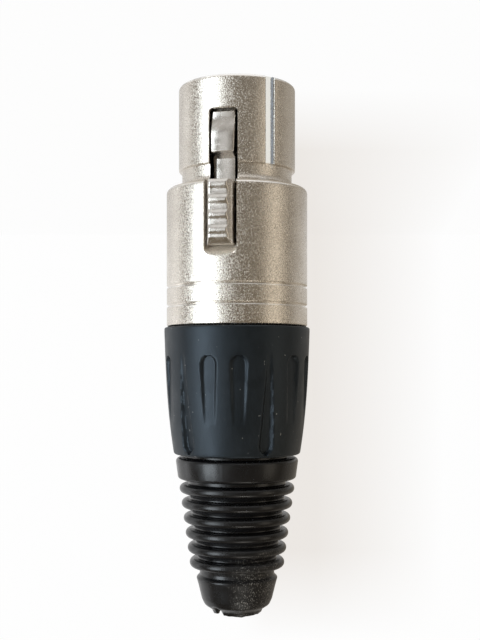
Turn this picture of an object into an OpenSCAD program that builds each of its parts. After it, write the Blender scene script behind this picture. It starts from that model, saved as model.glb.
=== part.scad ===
// Three pole female cable connector with a latch, a grip nut and a ribbed boot.
// It stands on its mating face: that face is z = 0, the axis is Z, the cable leaves upward.
// The latch faces -Y. Heights named _h are distances from the axis towards the latch.

/* [Housing] */
// Outer diameter of the mating barrel
barrel_d = 15.8; // [15.6:0.1:16]
// Wall of the mating barrel
barrel_wall = 1.2; // [1.1:0.1:1.3]
// Length of the mating barrel
barrel_len = 11.45; // [11:0.05:12]
// Rounding of the nose edge
nose_round = 0.5; // [0.3:0.1:0.6]
// Step in from the barrel's surface to the neck
neck_step = 0.45; // [0.3:0.05:0.6]
// Length of the neck
neck_len = 2.3; // [2:0.1:2.6]
// Step out from the barrel's surface to the body
body_step = 1.66; // [1.5:0.02:1.8]
// Length of the body, from the neck to the nut
body_len = 18.65; // [18:0.05:20]
// Rounding of the body's front edge
body_round = 0.75; // [0.4:0.05:0.9]
// Wall of the body
body_wall = 2.06; // [2:0.02:2.16]
// Depth of the seat inside the body's front for the contact insert
seat_depth = 1; // [0.9:0.1:1.4]
// Distance of the last ring groove from the nut
ring_back = 2.8; // [2.4:0.1:3.2]
// Distance between the two ring grooves
ring_pitch = 2.55; // [2.2:0.05:2.8]
// Width of a ring groove
ring_w = 0.42; // [0.3:0.02:0.6]
// Depth of a ring groove
ring_depth = 0.2; // [0.1:0.05:0.3]
// Step in from the body's surface to the threaded tail
tail_step = 1.26; // [1.2:0.02:1.36]
// Length of the threaded tail
tail_len = 6.1; // [5.5:0.1:6.6]
// Width of the key groove along the barrel
key_w = 1.4; // [1:0.1:1.6]
// Depth of the key groove
key_depth = 0.7; // [0.4:0.1:0.8]
// Angle of the key groove from the latch, towards -X
key_angle = 45; // [35:1:60]

/* [Latch openings] */
// Width of the window through barrel and neck
window_w = 3.7; // [3.6:0.1:3.8]
// Distance of the window from the mating face
window_front = 4.45; // [4.3:0.05:4.5]
// Width of the button's slot in the body
slot_w = 4.2; // [4.1:0.1:4.5]
// Room between the button and the end of its slot
slot_room = 1.15; // [0.9:0.05:1.4]
// Corner radius of the slot
slot_round = 0.55; // [0.4:0.05:0.7]
// Bevel on the slot's edges
slot_bevel = 0.18; // [0.1:0.02:0.3]
// Slope of the slot's end wall, in degrees from the radius
slot_slope = 28; // [15:1:35]

/* [Latch lever] */
// Distance of the pivot from the mating face
pivot_z = 2.6; // [2.5:0.1:2.8]
// Depth of the pivot below the barrel's bore
pivot_depth = 1.1; // [1.05:0.05:1.2]
// Radius of the pivot's trunnions
pivot_r = 0.55; // [0.45:0.05:0.6]
// Length across the two trunnions
pivot_len = 4.4; // [4.2:0.1:4.5]
// How far the lever turns when it is pressed
press_angle = 6.5; // [5.5:0.5:7]
// Width of the lever's plate
plate_w = 2.8; // [2.6:0.1:2.9]
// Thickness of the lever's plate
plate_t = 1.2; // [1:0.1:1.4]
// Depth of the plate's outer face below the barrel's bore
plate_drop = 0.15; // [0.1:0.05:0.25]
// Where the hook's slope starts
hook_front = 4.75; // [4.7:0.05:4.9]
// Length of the hook's slope
hook_slope = 3.35; // [3:0.05:3.6]
// Length of the flat behind the slope
hook_flat = 2; // [1.6:0.1:2.2]
// Height of the hook above the barrel's surface
hook_rise = 0.3; // [0.2:0.05:0.5]
// Depth of the hook's front edge below its top
hook_nose = 0.75; // [0.6:0.05:0.85]
// Chamfer on the hook's rear corners
hook_chamfer = 0.45; // [0.3:0.05:0.6]
// Where the button starts
button_front = 14; // [13.9:0.05:14.3]
// Length of the button
button_len = 8.3; // [7.8:0.1:8.6]
// Width of the button at its foot
button_w = 3.5; // [3.3:0.1:3.55]
// Width of the button at its crests
button_top_w = 2.3; // [2:0.1:2.5]
// How far the button's crests stand above the body
button_rise = 1.1; // [0.9:0.05:1.2]
// Height of the button's sloping sides
button_side_h = 1.35; // [1.2:0.05:1.5]
// Depth of the valleys between the crests
rib_depth = 0.36; // [0.2:0.02:0.5]
// Distance from one crest to the next
rib_pitch = 1.92; // [1.8:0.02:1.95]
// Length of the tongue that stops the lever under the body
tongue_len = 2.3; // [2:0.1:2.6]
// Thickness of the leaf spring under the button
spring_t = 0.25; // [0.2:0.05:0.25]
// Width of the leaf spring
spring_w = 2.4; // [2:0.1:2.6]

/* [Contacts] */
// Distance from a contact's centre to the insert's edge
contact_edge = 2.64; // [2.6:0.01:2.7]
// Bore of a socket, for a round pin
socket_bore_d = 2.5; // [2.4:0.05:2.6]
// Outer diameter of a socket
socket_d = 3.2; // [3.1:0.05:3.3]
// Depth of a socket's bore
socket_depth = 11; // [9:0.5:12]
// Width of the slit along a socket
slit_w = 0.3; // [0.2:0.05:0.4]
// Length of the slit
slit_len = 7; // [5:0.5:8]
// Diameter of a contact's shoulder
shoulder_d = 3.8; // [3.6:0.1:4]
// Length of a solder cup behind the shoulder
cup_len = 4.8; // [4:0.1:5.2]
// Bore of a solder cup
cup_bore_d = 2.1; // [1.9:0.1:2.2]
// Thickness of the shell contact's strip
strip_t = 0.3; // [0.2:0.05:0.35]
// Width of the shell contact's strip
strip_w = 2.4; // [2:0.1:2.6]

/* [Contact insert] */
// How far the insert's face lies behind the mating face
face_gap = 0.4; // [0.3:0.05:0.6]
// Thickness of the insert's front wall
face_t = 0.85; // [0.7:0.05:0.95]
// Diameter of the pin holes in the front wall
entry_d = 2.8; // [2.7:0.05:2.9]
// Length of the insert's flange
flange_len = 6.25; // [6:0.05:6.6]

/* [Chuck] */
// Wall of the fingers at their tips
finger_wall = 1.9; // [1.8:0.1:2]
// Depth of the chuck's teeth
tooth_depth = 0.35; // [0.2:0.05:0.4]
// Number of tooth rings
tooth_count = 5; // [3:1:6]
// Length of the chuck's sleeve inside the tail
sleeve_len = 7.2; // [6:0.1:7.4]
// Thickness of the chuck's collar
collar_t = 1; // [0.8:0.1:1.1]
// Step in from the tail's surface to the chuck's collar
collar_step = 0.3; // [0.2:0.1:0.4]
// Length of the chuck's fingers
finger_len = 6.9; // [6:0.1:7]
// How much the fingers narrow towards their tips
finger_taper = 1.9; // [1.7:0.1:2.1]
// Number of fingers
finger_count = 6; // [4:1:8]
// Width of the gap between two fingers
finger_gap = 1; // [0.8:0.1:1.2]

/* [Grip nut] */
// Length of the nut
nut_len = 17.15; // [17:0.05:17.6]
// Step out from the body's surface to the nut
nut_step = 0.34; // [0.24:0.02:0.44]
// How much the nut narrows towards its rear edge
nut_taper = 1.33; // [1.2:0.01:1.4]
// Thickness of the nut's rear lip
lip_t = 1.25; // [1.1:0.05:1.4]
// Pitch of the nut's thread, and width of the run-out groove at the tail's root
thread_pitch = 1.2; // [1:0.1:1.5]
// Pairs and singles of grip recesses round the nut, in groups of three
grip_groups = 5; // [4:1:6]
// Depth of a round topped recess
grip_top_depth = 0.5; // [0.3:0.05:0.6]
// Depth of a round bottomed recess
grip_end_depth = 0.6; // [0.3:0.05:0.65]
// Tool radius of the round topped recesses
grip_top_r = 1.95; // [1.6:0.05:2.2]
// Tool radius of the round bottomed recesses
grip_end_r = 1.35; // [1.2:0.05:1.6]
// Distance of the round topped recesses' tool from the nut's front edge
grip_top_start = 5.1; // [4.8:0.1:5.4]
// Length over which a round topped recess fades out
grip_top_len = 7.8; // [7:0.1:8.4]
// Distance of the round bottomed recesses' fading end from the nut's front edge
grip_end_start = 3.9; // [3.5:0.1:4.5]
// Distance of the round bottomed recesses' tool from the nut's rear edge
grip_end_back = 2.2; // [2:0.1:2.6]
// Angle of the first round topped recess from the latch, towards -X
grip_angle = 15; // [0:0.5:24]

/* [Boot] */
// Gap between the nut and the boot's collar
boot_gap = 0.45; // [0.3:0.05:0.6]
// Step in from the nut's rear edge to the boot's collar
boot_collar_step = 0.19; // [0.1:0.01:0.3]
// Length of the boot's collar
boot_collar_len = 2.9; // [2.6:0.1:3.1]
// Reach of the nut's lip, inwards from its rear edge
lip_reach = 1.67; // [1.6:0.01:1.75]
// Step out from the boot's neck to its flange
boot_flange_step = 0.7; // [0.6:0.05:0.8]
// Thickness of the boot's flange
boot_flange_t = 1.4; // [1.2:0.1:1.6]
// Distance from the collar's end to the first rib's centre
first_rib = 1.3; // [1.2:0.05:1.4]
// Distance from one rib to the next
boot_rib_pitch = 2.01; // [1.95:0.01:2.1]
// Number of ribs
boot_ribs = 6; // [4:1:6]
// Radius of a rib's round section
boot_rib_r = 0.73; // [0.6:0.01:0.8]
// Step in from the boot's collar to its first rib
rib_step = 0.57; // [0.5:0.01:0.65]
// How much the ribs narrow from the first to the last
rib_taper = 1.37; // [1.3:0.01:1.45]
// Depth of the grooves between the ribs
boot_groove = 1.12; // [0.9:0.02:1.2]
// Wall of the boot under its last rib
boot_wall = 1.12; // [1:0.02:1.3]
// Length of the closed cup behind the ribs
cup_end_len = 5; // [4.6:0.1:5.4]
// Step in from the boot's bore to the cable hole
hole_step = 1.3; // [1.2:0.1:1.5]
// Length of the cable hole
end_hole_len = 2.9; // [2.4:0.1:3.2]
// Slope of the cut across the boot's end
cut_slope = 5; // [0:1:8]
// Depth of the tear in the boot's end
tear_depth = 1; // [0.4:0.1:1.3]

/* [Clearances] */
// Between the insert and the housing
insert_gap = 0.1; // [0.05:0.05:0.15]
// Between a contact and its cavity
contact_gap = 0.05; // [0.03:0.01:0.08]
// Between a trunnion and its bearing
pivot_gap = 0.06; // [0.03:0.01:0.1]
// Under the lever when it is pressed home
press_gap = 0.2; // [0.1:0.05:0.3]
// Between the nut and the tail, and between nut, chuck and boot
nut_gap = 0.1; // [0.08:0.01:0.15]
// Between pieces that seat face to face
seat_gap = 0.05; // [0.02:0.01:0.1]

/* [Hidden] */
$fn = 72;

// A little more than nothing, for cuts that run past a face
eps = 0.01;
// Longer than anything here, for cuts that run right out
far = 40;

// Housing
barrel_r = barrel_d / 2;
barrel_bore_r = barrel_r - barrel_wall;
neck_r = barrel_r - neck_step;
body_z = barrel_len + neck_len;
body_r = barrel_r + body_step;
body_bore_r = body_r - body_wall;
seat_z = body_z + seat_depth;
shoulder_z = body_z + body_len;
tail_r = body_r - tail_step;
tail_z = shoulder_z + tail_len;
relief_r = tail_r - 0.3;
small_edge = 0.25;

// Latch
button_z = button_front + button_len;
slot_z = button_z + slot_room;
hook_z = hook_front + hook_slope;
catch_z = hook_z + hook_flat;
hook_h = barrel_r + hook_rise;
button_h = body_r + button_rise;
plate_h = barrel_bore_r - plate_drop;
plate_low_h = plate_h - plate_t;
pivot_h = barrel_bore_r - pivot_depth;
button_low_h = body_bore_r - 0.5;
tongue_h = sqrt(pow(body_bore_r - nut_gap, 2) - pow(plate_w / 2, 2));
channel_h = plate_low_h - (button_front - pivot_z) * sin(press_angle) - press_gap;
channel_w = window_w;

// Insert and contacts
insert_r = barrel_bore_r - insert_gap;
flange_r = body_bore_r - insert_gap;
flange_z = seat_z + seat_gap;
insert_z = flange_z + flange_len;
socket_r = socket_d / 2;
socket_z = face_gap + face_t;
cavity_r = socket_r + contact_gap;
contact_ring_r = insert_r - contact_edge;
contact_angles = [-30, 210, 90];
strip_depth = 0.65;

// Chuck
sleeve_r = body_bore_r - nut_gap;
finger_tip_r = sleeve_r - finger_taper;
chuck_bore_r = finger_tip_r - finger_wall;
collar_r = tail_r - collar_step;
collar_z = tail_z + seat_gap;
finger_z = collar_z + collar_t;
chuck_end_z = finger_z + finger_len;

// Nut
nut_z = shoulder_z + nut_gap;
nut_end_z = nut_z + nut_len;
nut_r = body_r + nut_step;
nut_rear_r = nut_r - nut_taper;
nut_bore_r = tail_r + nut_gap;
lip_z = nut_end_z - lip_t;
lip_r = nut_rear_r - lip_reach;

// Boot
boot_neck_r = lip_r - nut_gap;
boot_flange_r = boot_neck_r + boot_flange_step;
boot_collar_r = nut_rear_r - boot_collar_step;
rib_first_r = boot_collar_r - rib_step;
rib_last_r = rib_first_r - rib_taper;
boot_bore_r = rib_last_r - boot_groove - boot_wall;
end_hole_r = boot_bore_r - hole_step;
boot_flange_z = lip_z - nut_gap - boot_flange_t;
boot_z = nut_end_z + boot_gap;
ribs_z = boot_z + boot_collar_len;
rib_z0 = ribs_z + first_rib;
cup_z = rib_z0 + (boot_ribs - 1) * boot_rib_pitch + boot_rib_r + 1.2;
boot_end_z = cup_z + cup_end_len;
hole_z = boot_end_z - end_hole_len;
cup_r = rib_last_r - 0.92;
end_r = end_hole_r + 0.5;

// Points of an arc round (cx, cz), from angle a0 to a1
function arc(cx, cz, r, a0, a1, n = 6) =
  [for (i = [0:n]) [cx + r * cos(a0 + (a1 - a0) * i / n), cz + r * sin(a0 + (a1 - a0) * i / n)]];

// A V-shaped groove in a wall of radius r, centred at z
function vee(r, z, w, d) = [[r, z - w / 2], [r - d, z], [r, z + w / 2]];

// Outer radius of the nut: a gentle barrel that closes faster towards the rear
function nut_radius(z) =
  let (t = (z - nut_z) / nut_len)
  nut_r - (nut_r - nut_rear_r) * (0.42 * t + 0.58 * pow(t, 3));

// Outer radius of rib number i of the boot
function rib_radius(i) = rib_first_r - rib_taper * i / (boot_ribs - 1);

// Turns a drawing in z and height into a solid of width w across the latch
module across(w) {
  translate([-w / 2, 0, 0])
    rotate(a = 180, v = [1, 0, 1])
      linear_extrude(w)
        children();
}

// Puts its children at an angle from the latch, towards -X
module at_angle(a) {
  rotate([0, 0, -a])
    children();
}

// A rectangle with square corners at y0 and round corners at y1, centred in x
module open_slot(w, y0, y1, r) {
  translate([-w / 2, y0])
    square([w, y1 - r - y0]);
  translate([-w / 2 + r, y0])
    square([w - 2 * r, y1 - y0]);
  for (x = [-w / 2 + r, w / 2 - r])
    translate([x, y1 - r])
      circle(r);
}

// Cuts its drawing, in x and z, through the latch side of a wall
module latch_side_cut(h0) {
  translate([0, -h0, 0])
    rotate([90, 0, 0])
      linear_extrude(far)
        children();
}

// The die-cast shell: barrel, neck, body and threaded tail
module housing() {
  color([0.68, 0.65, 0.60])
    difference() {
      rotate_extrude()
        polygon(concat(
          [[barrel_bore_r + small_edge, 0]],
          arc(barrel_r - nose_round, nose_round, nose_round, -90, 0),
          [[barrel_r, barrel_len - small_edge], [barrel_r - small_edge, barrel_len]],
          [[neck_r, barrel_len], [neck_r, body_z]],
          arc(body_r - body_round, body_z + body_round, body_round, -90, 0),
          vee(body_r, shoulder_z - ring_back - ring_pitch, ring_w, ring_depth),
          vee(body_r, shoulder_z - ring_back, ring_w, ring_depth),
          [[body_r, shoulder_z - small_edge], [body_r - small_edge, shoulder_z]],
          [[relief_r, shoulder_z], [relief_r, shoulder_z + thread_pitch]],
          [[tail_r, shoulder_z + thread_pitch + tail_r - relief_r]],
          [[tail_r, tail_z - small_edge], [tail_r - small_edge, tail_z]],
          [[body_bore_r, tail_z], [body_bore_r, seat_z], [barrel_bore_r, seat_z]],
          [[barrel_bore_r, small_edge]]
        ));
      key_groove();
      latch_window();
      button_slot();
    }
}

// The key groove along the barrel
module key_groove() {
  at_angle(key_angle)
    translate([-key_w / 2, -barrel_r - 1, -eps])
      cube([key_w, 1 + key_depth, barrel_len + 2 * eps]);
}

// The window for the hook, through barrel and neck
module latch_window() {
  latch_side_cut(barrel_bore_r - 1)
    translate([-window_w / 2, window_front])
      square([window_w, body_z + body_round - window_front]);
}

// The button's slot, open at the body's front, with a sloped end and bevelled sides
module button_slot() {
  edge_h = sqrt(body_r * body_r - slot_w * slot_w / 4);
  latch_side_cut(barrel_bore_r - 1)
    open_slot(slot_w, body_z + small_edge, slot_z, slot_round);
  latch_side_cut(neck_r)
    open_slot(slot_w, body_z - 1, slot_z, slot_round);
  translate([0, -body_bore_r, slot_z - slot_round])
    rotate([-slot_slope, 0, 0])
      translate([0, 0, -1.5])
        rotate([90, 0, 0])
          linear_extrude(far)
            open_slot(slot_w, -1, 1.5 + slot_round, slot_round);
  for (side = [-1, 1])
    translate([side * slot_w / 2, -edge_h, body_z - eps])
      rotate([0, 0, 45])
        translate([-slot_bevel, -slot_bevel, 0])
          cube([2 * slot_bevel, 2 * slot_bevel, slot_z - slot_round - body_z]);
}

// The black moulded insert that holds the contacts and the lever's pivot
module contact_insert() {
  color([0.07, 0.07, 0.08])
    difference() {
      union() {
        translate([0, 0, face_gap])
          cylinder(h = insert_z - face_gap, r = insert_r);
        translate([0, 0, flange_z])
          cylinder(h = flange_len, r = flange_r);
      }
      for (a = contact_angles)
        rotate([0, 0, a])
          translate([contact_ring_r, 0, 0]) {
            cylinder(h = far, r = entry_d / 2);
            translate([0, 0, socket_z])
              cylinder(h = far, r = cavity_r);
          }
      lever_channel();
      strip_channel();
    }
}

// Room for the lever in the insert, with the bearing of its trunnions
module lever_channel() {
  channel_front = pivot_z - pivot_r - pivot_gap - 0.35;
  bearing_r = pivot_r + pivot_gap;
  translate([-channel_w / 2, -far - channel_h, channel_front])
    cube([channel_w, far, far]);
  translate([-pivot_len / 2 - pivot_gap, -pivot_h, pivot_z])
    rotate([0, 90, 0])
      cylinder(h = pivot_len + 2 * pivot_gap, r = bearing_r);
  translate([-pivot_len / 2 - pivot_gap, -pivot_h - far, pivot_z - bearing_r])
    cube([pivot_len + 2 * pivot_gap, far, 2 * bearing_r]);
}

// Shallow channel in the flange for the shell contact
module strip_channel() {
  translate([flange_r - strip_depth, -strip_w / 2 - contact_gap, flange_z + 1])
    cube([far, strip_w + 2 * contact_gap, far]);
}

// One socket contact with its shoulder and solder cup, on the axis
module socket_contact(a) {
  shoulder_low = insert_z + seat_gap;
  cup_low = shoulder_low + 0.6;
  rotate([0, 0, a])
    translate([contact_ring_r, 0, 0])
      difference() {
        union() {
          translate([0, 0, socket_z + seat_gap])
            cylinder(h = shoulder_low - socket_z, r = socket_r);
          translate([0, 0, shoulder_low])
            cylinder(h = 0.6, r = shoulder_d / 2);
          translate([0, 0, cup_low - eps])
            cylinder(h = cup_len, r = socket_r - 0.05);
        }
        translate([0, 0, -eps])
          cylinder(h = socket_z + socket_depth, r = socket_bore_d / 2);
        translate([0, -slit_w / 2, 0])
          cube([far, slit_w, socket_z + slit_len]);
        translate([0, 0, cup_low + 0.8])
          cylinder(h = far, r = cup_bore_d / 2);
        translate([-far - 0.3, -far / 2, cup_low + 1.6])
          cube([far, far, far]);
      }
}

module contact_1() {
  color([0.85, 0.68, 0.32])
    socket_contact(contact_angles[0]);
}

module contact_2() {
  color([0.85, 0.68, 0.32])
    socket_contact(contact_angles[1]);
}

module contact_3() {
  color([0.85, 0.68, 0.32])
    socket_contact(contact_angles[2]);
}

// The bowed strip that earths the shell, with a solder tag behind the insert
module shell_contact() {
  foot_r = flange_r - strip_depth;
  bow = body_bore_r - contact_gap - strip_t - 0.1;
  z0 = flange_z + 1 + seat_gap;
  tag_z = insert_z + 4;
  color([0.80, 0.72, 0.48])
    difference() {
      translate([0, strip_w / 2, 0])
        rotate([90, 0, 0])
          linear_extrude(strip_w)
            polygon([
              [foot_r, z0], [foot_r + strip_t, z0], [bow + strip_t, z0 + 2], [bow + strip_t, z0 + 2.6],
              [foot_r + strip_t, z0 + 4.6], [foot_r + strip_t, tag_z], [foot_r, tag_z],
              [foot_r, z0 + 4.5], [bow, z0 + 2.5], [bow, z0 + 2.1]
            ]);
      translate([foot_r - 1, 0, tag_z - 1.3])
        rotate([0, 90, 0])
          cylinder(h = 2, r = 0.65);
    }
}

// Side view of the lever, in z and height: arm, hook, plate, button and tongue
module lever_outline() {
  slope_n = 8;
  nose_r = 0.3;
  slope_len = hook_slope - nose_r;
  rise = hook_nose - 0.1;
  crest_z0 = button_front + 0.7;
  wave_n = 24;
  wave_end = button_z - 1.9;
  polygon(concat(
    [[pivot_z, pivot_h - pivot_r], [hook_front, pivot_h - pivot_r], [hook_front + 1, plate_low_h]],
    [[button_front, plate_low_h], [button_front + 0.9, button_low_h], [button_z, button_low_h]],
    [[button_z, tongue_h - 0.9], [button_z + tongue_len, tongue_h - 0.9]],
    [[button_z + tongue_len, tongue_h], [button_z, tongue_h], [button_z, button_h - 1.3]],
    [for (i = [0:wave_n])
      let (z = wave_end - (wave_end - crest_z0) * i / wave_n)
      [z, button_h - rib_depth / 2 + rib_depth / 2 * cos(360 * (z - crest_z0) / rib_pitch)]],
    [[button_front, button_h - 0.35], [button_front, plate_h], [catch_z, plate_h]],
    [[catch_z, hook_h - 0.15], [catch_z - 0.15, hook_h], [hook_z, hook_h - 0.1]],
    [for (i = [1:slope_n])
      let (t = i / slope_n)
      [hook_z - slope_len * t, hook_h - 0.1 - rise * (t * t * (3 - 2 * t))]],
    arc(hook_front + nose_r, hook_h - hook_nose - nose_r, nose_r, 90, 180, 4),
    [[hook_front, pivot_h + pivot_r], [pivot_z, pivot_h + pivot_r]]
  ));
}

// The lever: a hook that catches the mating shell and a ribbed button, on two trunnions
module latch_lever() {
  taper = (button_w - button_top_w) / 2;
  color([0.74, 0.73, 0.70])
    union() {
      difference() {
        across(plate_w)
          difference() {
            lever_outline();
            translate([button_front, button_low_h - 1])
              square([button_len - 0.01, far]);
          }
        for (side = [-1, 1])
          translate([side * plate_w / 2, -plate_h, catch_z])
            rotate([0, 45, 0])
              translate([-hook_chamfer / sqrt(2), -far, -hook_chamfer / sqrt(2)])
                cube([hook_chamfer * sqrt(2), far, hook_chamfer * sqrt(2)]);
      }
      intersection() {
        across(button_w)
          intersection() {
            lever_outline();
            translate([button_front, 0])
              square([button_len, far]);
          }
        translate([0, 0, button_front - 1])
          linear_extrude(button_len + 2)
            polygon([
              [-button_w / 2, 0], [button_w / 2, 0], [button_w / 2, button_side_h - button_h],
              [button_w / 2 - taper, -button_h], [-button_w / 2 + taper, -button_h],
              [-button_w / 2, button_side_h - button_h]
            ]);
      }
      translate([-pivot_len / 2, -pivot_h, pivot_z])
        rotate([0, 90, 0])
          cylinder(h = pivot_len, r = pivot_r);
    }
}

// The bent leaf under the button: a foot on the channel's floor and a rising arm
module latch_spring() {
  foot_z = button_front + 1.6;
  bend_z = insert_z - 0.5;
  low = channel_h + 0.02;
  top = button_low_h - 0.03;
  color([0.62, 0.62, 0.62])
    across(spring_w)
      polygon([
        [foot_z, low], [bend_z, low], [bend_z + 0.25, low + spring_t],
        [foot_z + 1, top], [foot_z, top - 0.1], [foot_z, top - 0.1 - spring_t],
        [foot_z + 0.9, top - spring_t], [bend_z - 0.45, low + spring_t], [foot_z, low + spring_t]
      ]);
}

// The white chuck: a sleeve in the tail, a stop collar and slotted fingers with teeth
module chuck() {
  bore_r = chuck_bore_r;
  tooth_pitch = (finger_len - 1) / tooth_count;
  color([0.90, 0.90, 0.87])
    difference() {
      rotate_extrude()
        polygon(concat(
          [[bore_r + 1, collar_z - sleeve_len], [sleeve_r, collar_z - sleeve_len]],
          [[sleeve_r, collar_z], [collar_r, collar_z], [collar_r, finger_z]],
          [[sleeve_r, finger_z], [finger_tip_r, chuck_end_z], [bore_r, chuck_end_z]],
          [for (i = [0:tooth_count - 1], edge = [0, 1])
            [bore_r + (edge == 0 ? tooth_depth : 0), chuck_end_z - 0.5 - (i + edge) * tooth_pitch]],
          [[bore_r + 1, finger_z - 0.6]]
        ));
      for (i = [0:finger_count - 1])
        rotate([0, 0, 360 / finger_count * (i + 0.5)])
          translate([0, -finger_gap / 2, finger_z + 0.5])
            cube([far, finger_gap, far]);
    }
}

// The grip nut, with its thread's clear bore and its tapered recesses
module grip_nut() {
  step = 360 / (3 * grip_groups);
  wall_z = finger_z + 0.3;
  rear_r = boot_flange_r + 2 * nut_gap;
  edge = 0.4;
  color([0.12, 0.12, 0.13])
    difference() {
      rotate_extrude()
        polygon(concat(
          arc(nut_radius(nut_z + edge) - edge, nut_z + edge, edge, -90, 0, 4),
          [for (i = [1:10])
            let (z = nut_z + edge + (nut_len - 2 * edge) * i / 10)
            [nut_radius(z), z]],
          arc(nut_radius(nut_end_z - edge) - edge, nut_end_z - edge, edge, 0, 90, 4),
          [[lip_r, nut_end_z], [lip_r, lip_z], [rear_r, lip_z]],
          [[rear_r, wall_z + 1.5], [nut_bore_r, wall_z], [nut_bore_r, nut_z]]
        ));
      for (g = [0:grip_groups - 1]) {
        at_angle(grip_angle + (3 * g + 1) * step)
          end_recess();
        at_angle(grip_angle + 3 * g * step)
          top_recess();
        at_angle(grip_angle + (3 * g - 1) * step)
          top_recess();
      }
    }
}

// A round tool whose axis leans from height h0 at z0 to height h1 at z1
module lean_tool(r, z0, h0, z1, h1) {
  len = sqrt(pow(z1 - z0, 2) + pow(h1 - h0, 2));
  translate([0, -h0, z0])
    rotate([atan2(h1 - h0, z1 - z0), 0, 0])
      cylinder(h = len, r = r);
}

// A recess with a round top that fades out towards the rear
module top_recess() {
  z0 = nut_z + grip_top_start;
  z1 = z0 + grip_top_len;
  h0 = nut_radius(z0) - grip_top_depth + grip_top_r;
  lean_tool(grip_top_r, z0, h0, z1 + 2, nut_radius(z1) + grip_top_r);
  translate([0, -h0, z0])
    sphere(grip_top_r);
}

// A recess that grows towards the rear and ends round
module end_recess() {
  z0 = nut_z + grip_end_start;
  z1 = nut_end_z - grip_end_back;
  h1 = nut_radius(z1) - grip_end_depth + grip_end_r;
  lean_tool(grip_end_r, z0, nut_radius(z0) + grip_end_r, z1, h1);
  translate([0, -h1, z1])
    sphere(grip_end_r);
}

// The rubber boot: a flange inside the nut, a collar, ribs and a cut cup end
module boot() {
  color([0.09, 0.09, 0.10])
    difference() {
      union() {
        boot_core();
        for (i = [0:boot_ribs - 1])
          rotate_extrude()
            translate([rib_radius(i) - boot_rib_r, rib_z0 + i * boot_rib_pitch])
              circle(boot_rib_r);
      }
      boot_bore();
      boot_tear();
    }
}

// The boot without its ribs: a stack of groove floors between collar and cup
module boot_core() {
  round_r = 0.45;
  rotate_extrude()
    polygon(concat(
      [[0, boot_flange_z], [boot_flange_r, boot_flange_z]],
      [[boot_flange_r, lip_z - nut_gap], [boot_neck_r, lip_z - nut_gap], [boot_neck_r, boot_z]],
      arc(boot_collar_r - round_r, boot_z + round_r, round_r, -90, 0, 4),
      arc(boot_collar_r - 0.35 - round_r, ribs_z - round_r, round_r, 0, 90, 4),
      [for (i = [0:boot_ribs - 1], edge = [0, 1])
        [rib_radius(i) - boot_groove + 0.02 * i, ribs_z + (i + edge) * boot_rib_pitch + 0.02 * edge]],
      [[cup_r - 0.45, cup_z - 0.9], [cup_r - 0.45, cup_z - 0.3], [cup_r, cup_z + 0.1]],
      [[cup_r - 0.28, cup_z + 1.1], [cup_r - 0.75, cup_z + 2.9], [cup_r - 1.05, cup_z + 3.6]],
      [[cup_r - 1.5, cup_z + 4.1], [end_r, cup_z + 4.5], [end_r - 0.1, boot_end_z], [0, boot_end_z]]
    ));
}

// The way for the cable: wide under the nut, narrower through the ribs, narrow at the end
module boot_bore() {
  bore_r = boot_bore_r;
  rotate_extrude()
    polygon([
      [0, boot_flange_z - 1], [bore_r + 0.8, boot_flange_z - 1], [bore_r + 0.8, boot_flange_z + 1.5],
      [bore_r, boot_z], [bore_r, hole_z - 2], [end_hole_r, hole_z],
      [end_hole_r, boot_end_z + 1], [0, boot_end_z + 1]
    ]);
}

// The slanting cut across the end, and the tear in it
module boot_tear() {
  translate([0, 0, boot_end_z - 0.05])
    rotate([0, 0, -20])
      rotate([0, cut_slope, 0])
        translate([-far / 2, -far / 2, 0])
          cube(far);
  rotate([0, 0, 30])
    translate([0, 0, boot_end_z])
      rotate([90, 0, 0])
        linear_extrude(far)
          polygon([[-0.75, 1], [-0.3, -tear_depth * 0.8], [0.05, -tear_depth], [0.75, 1]]);
}

housing();
contact_insert();
contact_1();
contact_2();
contact_3();
shell_contact();
latch_lever();
latch_spring();
chuck();
grip_nut();
boot();
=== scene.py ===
"""Looks of a three pole cable plug: satin nickel shell, latch, grip nut and ribbed boot.

The plug stands on its mating face at z = 0 and its cable end points up. The camera looks at it
level and is turned upside down, as in the photograph, where the mating face is at the top.
Lengths are in millimetres until a mesh is made. An angle round the plug is an azimuth: 0 faces
the latch, at -Y, and it grows towards +X.
"""

import logging
import math
from dataclasses import dataclass
from enum import Enum
from typing import Sequence

import bpy
import numpy as np
from mathutils import Matrix, Vector

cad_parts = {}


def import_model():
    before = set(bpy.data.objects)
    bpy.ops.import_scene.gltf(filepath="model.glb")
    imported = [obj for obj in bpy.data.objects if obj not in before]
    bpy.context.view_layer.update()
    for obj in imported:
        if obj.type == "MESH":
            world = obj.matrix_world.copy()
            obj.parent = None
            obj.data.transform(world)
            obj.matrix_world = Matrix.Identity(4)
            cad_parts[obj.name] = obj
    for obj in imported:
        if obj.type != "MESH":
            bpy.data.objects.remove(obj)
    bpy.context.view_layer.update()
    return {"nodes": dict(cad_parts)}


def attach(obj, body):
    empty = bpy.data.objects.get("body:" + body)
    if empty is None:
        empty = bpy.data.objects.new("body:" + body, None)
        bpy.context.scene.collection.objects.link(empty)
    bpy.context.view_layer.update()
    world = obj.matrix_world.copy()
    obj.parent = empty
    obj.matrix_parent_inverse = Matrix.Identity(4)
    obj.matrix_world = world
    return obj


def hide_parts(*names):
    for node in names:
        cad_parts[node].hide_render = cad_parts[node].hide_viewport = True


LOG = logging.getLogger("cable_plug")
MM = 0.001
NEARLY_STRAIGHT = 0.02
COARSE_ARC = 15.0
LATCH_CREASE = 35.0
BOOT_CREASE = 50.0
SHELL_CREASE = 18.0
Colour = tuple[float, float, float]


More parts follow.
